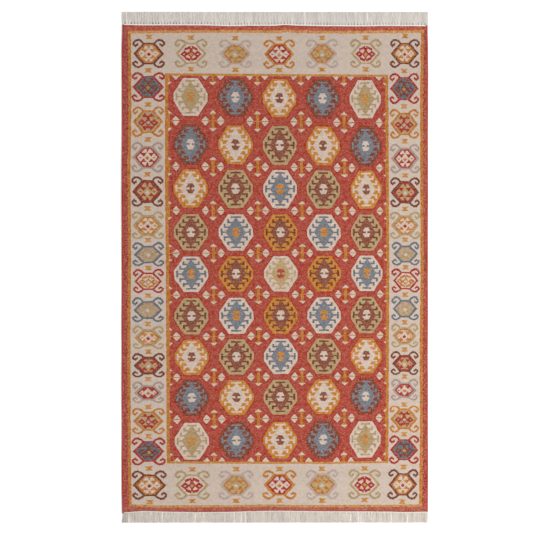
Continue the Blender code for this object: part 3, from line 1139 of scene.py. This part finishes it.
fringeWool = {
    "yarns": {"far": srgb(222, 215, 208), "near": srgb(213, 204, 193)},
    "headings": {"far": srgb(236, 237, 231), "near": srgb(222, 216, 208)},
    # painted shade: the colour of the shadow deep in the gaps between locks
    "paintedShade": srgb(104, 88, 74),
    "light": srgb(232, 228, 221),
    "lightest": srgb(236, 231, 231),
    "plyLength": 2.4,  # millimetres along a yarn for one turn of its two plies
    "spots": {"fibre": (1.1, 2.2, 3.0, 2.0), "slub": (0.09, 60.0, 8.0, 1.0)},
    "slub": (0.55, 0.8, 0.7),  # light slubs start and are strongest at these values; how strong
    "slubTint": 0.25,
    "yarnTone": 0.13,  # how much one yarn differs from the next
    "yarnHue": 0.008,
    "fibreTone": 0.10,
    "fibreRelief": 0.5,
    # painted shade in the grooves between the two plies, lighter on their crowns
    "plyShade": 0.05,
    "relief": 0.00018,
    "roughness": (0.12, 0.82),
    "sheen": 0.10,
}


def fringeMaterial(name, side):
    material, shader = startMaterial(name)
    cosine, sine, along = readAttribute("plyAt")
    tone, paintedShade, isHeading = readAttribute("toneAt")
    # two plies twist round each other: a wave of twice the angle, carried along the yarn
    doubleSine = times(times(cosine, sine), 2.0)
    doubleCosine = minus(times(cosine, cosine), times(sine, sine))
    angle = times(along, 2 * math.pi / fringeWool["plyLength"])
    ply = plus(times(doubleCosine, calc("COSINE", angle)), times(doubleSine, calc("SINE", angle)))
    fibre = noise(along, plus(cosine, tone), *fringeWool["spots"]["fibre"])
    slub = noise(along, tone, *fringeWool["spots"]["slub"])
    colour = mixColour(isHeading, fringeWool["yarns"][side], fringeWool["headings"][side])
    bright = outOf(ramped(slub, *fringeWool["slub"]), isHeading)
    colour = mixColour(bright, colour, fringeWool["light"])
    # a tone above 1 marks the few very light yarns
    colour = mixColour(ramped(tone, 1.0, 2.0), colour, fringeWool["lightest"])
    tone = smaller(tone, 1.0)
    value = plus(swing(tone, fringeWool["yarnTone"]), swing(fibre, fringeWool["fibreTone"]))
    # painted shade between the plies
    value = timesPlus(ply, fringeWool["plyShade"], value)
    colour = retint(colour, swing(tone, fringeWool["yarnHue"]), swing(slub, fringeWool["slubTint"]), value)
    # painted shade, in the gaps between the locks and on the warp ends deep in them
    colour = mixColour(paintedShade, colour, fringeWool["paintedShade"])
    finishWool(shader, colour, timesPlus(fibre, fringeWool["fibreRelief"], ply), fringeWool, fibre)
    return material


def lockTable(node, edge, outward):
    # left and right of each lock's tip, where it ends, and where the strip it grows from ends
    points = nodePoints(node)
    end = np.abs(points[:, 1]).max()
    isTip = np.abs(points[:, 1]) > end - fringe["tipReach"]
    clothAt = np.abs(np.interp(points[:, 0], *edge))
    isRoot = (np.abs(points[:, 1]) > clothAt + fringe["stripReach"]) & ~isTip
    tips = np.unique(points[isTip, 0].round(5)).reshape(-1, 2)
    ends = [np.abs(points[isTip & (np.abs(points[:, 0] - middle) < fringe["lockReach"]), 1]).mean() * outward
            for middle in tips.mean(axis=1)]
    return tips, np.array(ends), (points[isRoot, 0].min(), points[isRoot, 0].max())


def makeYarns(tips, ends, side, outward, dice):
    locks, each = len(tips), fringe["yarnsPerLock"]
    share = (np.arange(each) + 0.5) / each
    stations = np.array(fringe["stations"])
    gaps = (tips[1:, 0] + tips[:-1, 1]) / 2
    lefts, rights = np.append(tips[0, 0], gaps), np.append(gaps, tips[-1, 1])
    evenX = lefts[:, None] + share * (rights - lefts)[:, None]
    firstTip, lastTip, run = tips[0, 0], tips[-1, 1], fringe["cornerRun"]
    firstRoot, lastRoot = fringe["corners"][side]
    bends = (firstTip, firstTip + run, lastTip - run, lastTip)
    rootX = np.interp(evenX, bends, (firstRoot, *bends[1:3], lastRoot))
    tipX = evenX + dice.normal(0, fringe["stray"], evenX.shape)
    pinch = np.interp(stations, (0, fringe["gatherAt"], fringe["gatherEnd"]), (0, 1, 0))
    pinch = pinch * fringe["gather"][side]
    towards = (lefts + rights)[:, None] / 2 - evenX
    x = rootX[..., None] + (tipX - rootX)[..., None] * stations ** fringe["spread"]
    x = x + towards[..., None] * pinch
    phase = dice.uniform(0, 2 * math.pi, (locks, each, 1))
    bend = dice.uniform(*fringe["bend"], (locks, each, 1))
    sway = dice.normal(0, fringe["wander"] * fringe["swayShare"], (locks, 1, 1))
    strayed = fringe["wander"] * fringe["bendShare"] * stations
    x = x + strayed * np.sin(phase + 2 * math.pi * bend * stations)
    x = x + sway * np.sin(math.pi * stations)
    lean = fringe["lean"][side] * dice.uniform(*fringe["leanRange"], (locks, 1, 1))
    inside = np.interp(evenX, bends, (0, 1, 1, 0))
    x = x + lean * inside[..., None] * np.clip(1 - stations / fringe["leanReach"], 0, 1)

    cornerReach, further = fringe["underCord"]
    fromCorner = rootX - fringe["corners"][side][0]
    under = further * np.clip(1 - fromCorner / cornerReach, 0, 1) * (side == "near")
    startY = np.interp(rootX, *edges[side]) + outward * (fringe["rootGap"] + under)
    endY = ends[:, None] - outward * dice.uniform(0, fringe["cut"], (locks, each))
    y = startY[..., None] + (endY - startY)[..., None] * stations
    layer = (np.arange(each) % 2)[None, :, None]
    rise = layer * fringe["rise"] * np.clip(stations / fringe["gatherAt"], 0, 1)
    high, start, run = fringe["ripple"]
    ripple = high * (1 + np.sin(phase * start + run * stations))
    z = fringe["radius"] + rise + ripple + lift(x, y)
    radii = fringe["radius"] * (1 - fringe["thinTip"] * (stations == 1)) * np.ones((locks * each, 1))
    lines = np.stack([x, y, z], axis=-1).reshape(locks * each, len(stations), 3)
    return (lines, radii, *yarnTones(evenX, fromCorner, share, stations, side, dice))


def yarnTones(evenX, fromCorner, share, stations, side, dice):
    # how light each yarn is along its length, and how much painted shade it takes from the gap beside it
    locks, each = evenX.shape
    ownShare, lockShare = fringe["toneShares"]
    tone = dice.uniform(0, 1, (locks, each)) * ownShare + dice.uniform(0, 1, (locks, 1)) * lockShare
    isDull = fromCorner < fringe["dullCorner"][side]
    tone = tone - isDull * fringe["dullness"] * dice.uniform(*fringe["dullRange"], (locks, each))
    # a light yarn shows on top over part of its length
    lightAt = np.array(fringe["lightYarns"][side])
    isLight = np.abs(evenX[..., None] - lightAt).min(axis=-1) < fringe["lightReach"]
    onTop = 1 - np.abs(stations - dice.uniform(*fringe["lightAlong"], (locks, each, 1)))
    light = 1.0 + fringe["lightness"] * dice.uniform(*fringe["lightRange"], (locks, each, 1)) * onTop
    tone = np.where(isLight[..., None], light, tone[..., None])
    # painted shade: the yarns beside a gap are darkened near their roots, standing in for the gap's shadow
    besideGap = (np.abs(share - 0.5) * 2) ** fringe["gapRound"]
    besideGap = besideGap * dice.uniform(*fringe["gapRange"], (locks, 1))
    gapMiddle, gapReach = fringe["gapAlong"]
    nearRoot = np.clip(1 - np.abs(stations - gapMiddle) / gapReach, 0, 1)
    strength = np.interp(evenX, *zip(*fringe["gapShade"][side])) * besideGap
    return tone.reshape(-1, len(stations)), strength.reshape(-1, 1) * nearRoot


def makeShadowEnds(tips, edge, outward, dice):
    # short warp ends of the lower layer deep in the gaps between the locks, painted in the shade colour:
    # painted shadow where the floor would show
    middles = (tips[1:, 0] + tips[:-1, 1]) / 2
    stations = np.array((0.0, 0.5, 1.0))
    aside = fringe["shadowEndAside"] * np.array((-1, 0, 1))
    x = middles[:, None, None] + aside[None, :, None] + 0 * stations
    x = x.reshape(-1, len(stations))
    length, vary = fringe["shadowEndLength"]
    length = length + dice.uniform(-vary, vary, (len(x), 1))
    y = np.interp(x, *edge) + outward * (fringe["rootGap"] + length * stations)
    z = fringe["shadowEndHigh"] + lift(x, y)
    radii = np.array(fringe["shadowEndRadii"]) * np.ones((len(x), 1))
    return np.stack([x, y, z], axis=-1), radii


def makeHeading(strip, edge, side, outward):
    # each row is two strands that twist round each other, a half turn for every few warps
    radius = heading["radius"][side]
    first, last = strip[0] + radius, strip[1] - radius
    turns = (last - first) / heading["pitch"]
    stations = round(turns * heading["stationsPerTurn"]) + 1
    x = np.linspace(first, last, stations)
    lines = []
    for rowIndex, away in enumerate(heading["rows"][side]):
        for strand in (0, 1):
            angle = (x - first) / heading["pitch"] * 2 * math.pi
            angle = angle * (1 if rowIndex == 0 else -1) + strand * math.pi
            y = np.interp(x, *edge) + outward * away + heading["coil"] * np.cos(angle)
            z = heading["high"] + heading["coil"] * np.sin(angle) + lift(x, y)
            lines.append(np.stack([x, y, z], axis=-1))
    return np.array(lines), np.full((len(lines), stations), radius)


fringeMap = {  # the bake map's parts, as shares of it
    "yarns": 0.8,  # the yarns' part of its height
    "fill": (0.9, 0.96),  # how much of its cell a yarn fills
    "shadowEnds": (0.81, 0.05),  # where their part starts, and how high it is
    "heading": (0.87, 0.03, 0.025),  # where it starts, from strand to strand, a strand's height
}


def fringeCells(locks, each, ends, strands):
    # where the yarns, the painted-shadow ends and the heading's strands are unrolled on the bake map
    yarns, end, strand = np.arange(locks * each), np.arange(ends), np.arange(strands)
    wide, high = 1 / locks, fringeMap["yarns"] / each
    fillWide, fillHigh = fringeMap["fill"]
    shadowEndLow, shadowEndHigh = fringeMap["shadowEnds"]
    strandLow, strandStep, strandHigh = fringeMap["heading"]
    return (bakeCells(yarns // each * wide, yarns % each * high, fillWide * wide, fillHigh * high),
            bakeCells(end / ends, shadowEndLow, fillWide / ends, shadowEndHigh),
            bakeCells(0 * strand, strandLow + strandStep * strand, 1.0, strandHigh))


def makeFringe(name, node, side, material):
    edge, outward = edges[side], 1 if side == "far" else -1
    dice = np.random.default_rng(fringe["seed"] + outward)
    tips, ends, strip = lockTable(node, edge, outward)
    yarnLines, yarnRadii, yarnTone, yarnShade = makeYarns(tips, ends, side, outward, dice)
    # warp ends painted in the shade colour stand in for the shadow deep in the gaps
    shadowEndLines, shadowEndRadii = makeShadowEnds(tips, edge, outward, dice)
    twinedLines, twinedRadii = makeHeading(strip, edge, side, outward)
    twinedTone = dice.uniform(*heading["tones"], (len(twinedLines), 1)) * np.ones(twinedRadii.shape)
    lengthways = [(0, 0, 1), (1, 0, 0)] if outward > 0 else [(1, 0, 0), (0, 0, 1)]
    crossways = [(0, 1, 0), (0, 0, 1)]
    yarnCells, shadowEndCells, twinedCells = fringeCells(len(tips), fringe["yarnsPerLock"], len(shadowEndLines),
                                                   len(twinedLines))
    # each group: lines, radii, sides, spans, tone, painted shade, heading or not, its cells of the bake map
    groups = [
        (yarnLines, yarnRadii, fringe["sides"], lengthways, yarnTone, yarnShade, 0.0, yarnCells),
        # the painted-shadow ends take the full painted shade
        (shadowEndLines, shadowEndRadii, fringe["sides"], lengthways, np.full(shadowEndRadii.shape, fringe["shadowEndTone"]),
         np.ones(shadowEndRadii.shape), 0.0, shadowEndCells),
        (twinedLines, twinedRadii, heading["sides"], crossways, twinedTone,
         np.zeros(twinedRadii.shape), 1.0, twinedCells),
    ]
    points, faces, bakeMap, plyAt, toneAt = [], [], [], [], []
    before = 0
    for lines, radii, sides, spans, tone, paintedShade, isHeading, cells in groups:
        count, stations, _ = lines.shape
        points.append(tubePoints(lines, radii, sides, spans))
        faces += [[corner + before for corner in face] for face in tubeFaces(count, stations, sides)]
        before += len(points[-1])
        steps = np.linalg.norm(np.diff(lines, axis=1), axis=2)
        along = np.concatenate([np.zeros((count, 1)), np.cumsum(steps, axis=1)], axis=1) / millimetre
        along, tone, paintedShade = [np.repeat(values.ravel(), sides) for values in (along, tone, paintedShade)]
        turn = np.tile(turnsRound(sides), count * stations)
        plyAt.append(np.stack([np.cos(turn), np.sin(turn), along], -1))
        toneAt.append(np.stack([tone, paintedShade, np.full(len(turn), isHeading)], -1))
        bakeMap.append(tubeBakeMap(stations, sides, cells))
    attributes = {"plyAt": np.concatenate(plyAt), "toneAt": np.concatenate(toneAt)}
    return woolPiece(name, np.concatenate(points), faces, material, np.concatenate(bakeMap), attributes,
                     fringe["crease"])


fringes = {
    "fringe_far": makeFringe("fringeFar", "fringe_far", "far", fringeMaterial("fringeYarnFar", "far")),
    "fringe_near": makeFringe("fringeNear", "fringe_near", "near", fringeMaterial("fringeYarnNear", "near")),
}
print("fringes knotted:", sum(len(piece.data.polygons) for piece in fringes.values()), "faces")


# floor, light and camera

studio = {
    "floor": srgb(252, 252, 251),
    "world": 0.75,
    "lampPower": 330.0,
    "lampAt": (4.14, -1.76, 4.5),  # low on the right, so the rug is brighter there
    "lampSize": 2.5,
    "frameWidth": 2.665,  # metres across the picture at the floor
    "rugAside": 0.042,  # the rug lies this far right of the picture's middle
    "rugBelow": 0.0045,
    "cameraHeight": 12.0,
    "floorHalf": 30.0,
    "floorGrain": (3.0, 3.0, 0.0, 2.0),
}


def makeStudio():
    material, shader = startMaterial("paleFloor")
    x, y, _ = split(wired("ShaderNodeTexCoord")["Object"])
    colour = mixColour(noise(x, y, *studio["floorGrain"]), studio["floor"], grey(1.0))
    for name, value in (("Base Color", colour), ("Roughness", 0.95), ("Specular IOR Level", 0.1)):
        feed(shader.inputs[name], value)
    half = studio["floorHalf"]
    corners = [(-half, -half, 0), (half, -half, 0), (half, half, 0), (-half, half, 0)]
    meshPiece("paleFloor", corners, [(0, 1, 2, 3)], material)

    world = bpy.data.worlds.new("studio")
    world.use_nodes = True
    background = world.node_tree.nodes["Background"]
    background.inputs["Color"].default_value = grey(1.0)
    background.inputs["Strength"].default_value = studio["world"]
    bpy.context.scene.world = world
    lamp = bpy.data.lights.new("softWindow", "AREA")
    lamp.shape = "DISK"
    lamp.size = studio["lampSize"]
    lamp.energy = studio["lampPower"]
    light = bpy.data.objects.new("softWindow", lamp)
    light.location = studio["lampAt"]
    toRug = -np.array(studio["lampAt"])
    light.rotation_euler = (math.atan2(math.hypot(toRug[0], toRug[1]), -toRug[2]), 0,
                            math.atan2(toRug[1], toRug[0]) - math.pi / 2)
    bpy.context.scene.collection.objects.link(light)

    lens = bpy.data.cameras.new("above")
    lens.sensor_width = 36.0
    lens.lens = lens.sensor_width * studio["cameraHeight"] / studio["frameWidth"]
    lens.clip_end = 100.0
    camera = bpy.data.objects.new("above", lens)
    camera.location = (-studio["rugAside"], studio["rugBelow"], studio["cameraHeight"])
    bpy.context.scene.collection.objects.link(camera)
    bpy.context.scene.camera = camera
    bpy.context.scene.view_settings.view_transform = "Standard"


makeStudio()
print("studio set")

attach(kilimCloth, "root")
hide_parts("kilim_cloth")
for node, piece in selvedges.items():
    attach(piece, "root")
    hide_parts(node)
for node, piece in fringes.items():
    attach(piece, "root")
    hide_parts(node)
